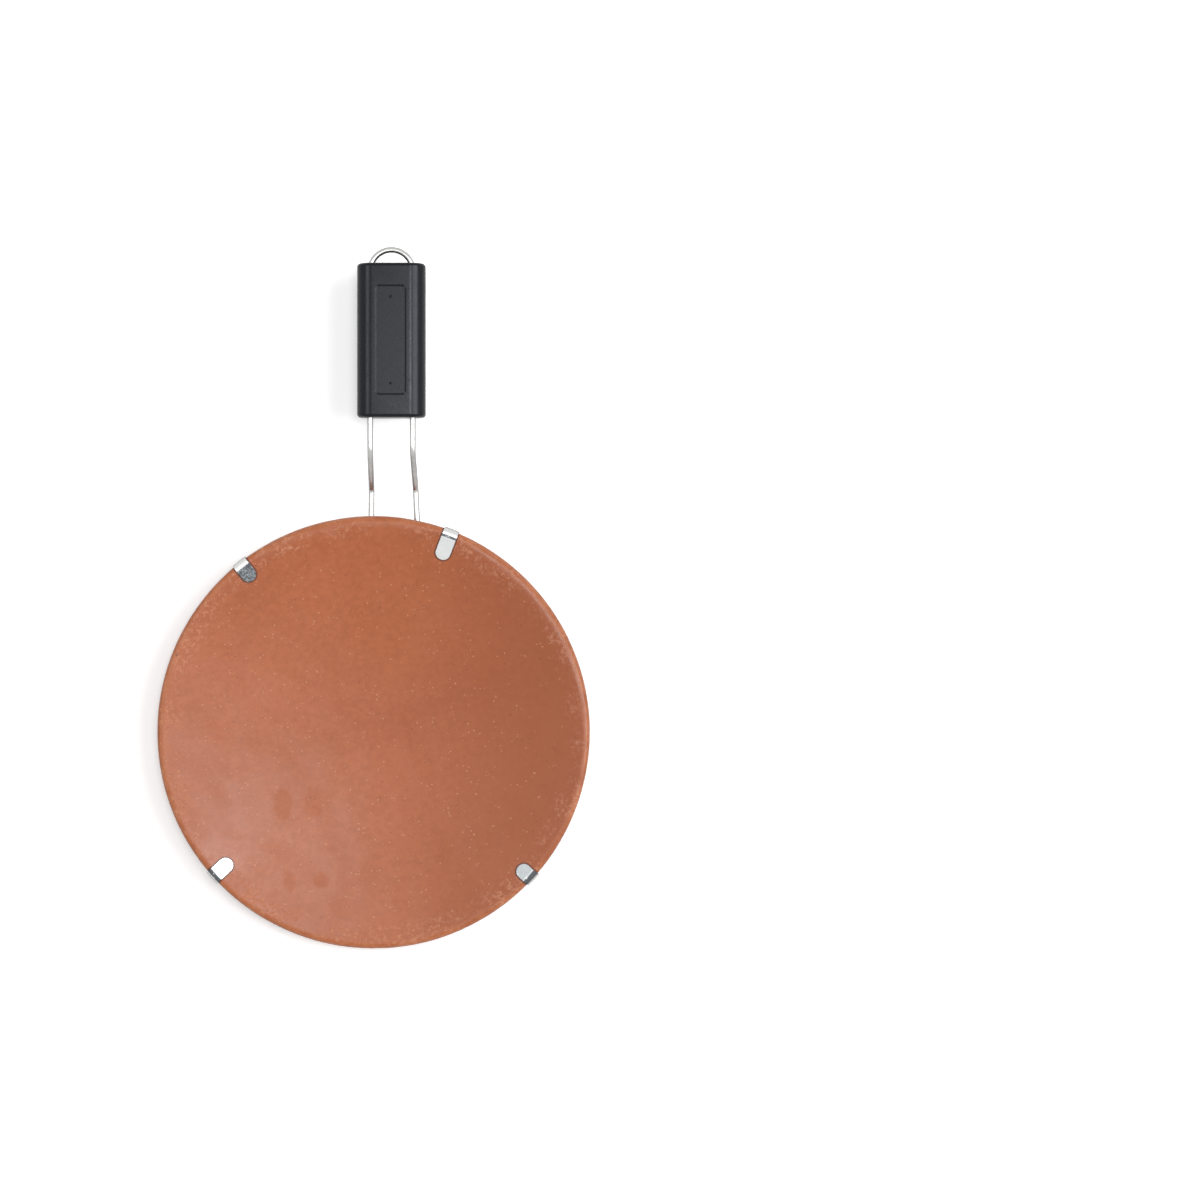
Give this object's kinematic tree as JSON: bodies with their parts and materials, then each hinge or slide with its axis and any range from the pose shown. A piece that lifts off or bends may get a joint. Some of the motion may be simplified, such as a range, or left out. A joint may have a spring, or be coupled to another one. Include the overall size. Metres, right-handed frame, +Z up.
{
  "type": "clay tawa",
  "caption": "Round dished clay griddle plate, clipped to a bent wire frame with feet, with a straight black handle on its legs and a hanging loop at the end.",
  "frame": {"origin": "on the plate's axis, on the flat face of the round sunk into the middle of the underside", "axes": "+Z up out of the cooking face, +Y from the plate towards the handle, +X to the right with the handle pointing away"},
  "size_m": [0.25, 0.4047, 0.039],
  "materials": {
    "clay": "fired terracotta, matt, with fine speckle and pale scuffs on the rim",
    "wire": "bright drawn wire",
    "clip_sheet": "galvanised sheet with spangle",
    "handle": "satin black moulding",
    "screw": "bright zinc"
  },
  "bodies": {
    "root": {"clay_plate": "clay", "wire_frame": "wire", "clip_near_handle_right": "clip_sheet", "clip_near_handle_left": "clip_sheet", "clip_far_left": "clip_sheet", "clip_far_right": "clip_sheet", "handle_upper": "handle", "handle_lower": "handle", "screw_near_plate": "screw", "screw_near_loop": "screw"}
  },
  "joints": []
}
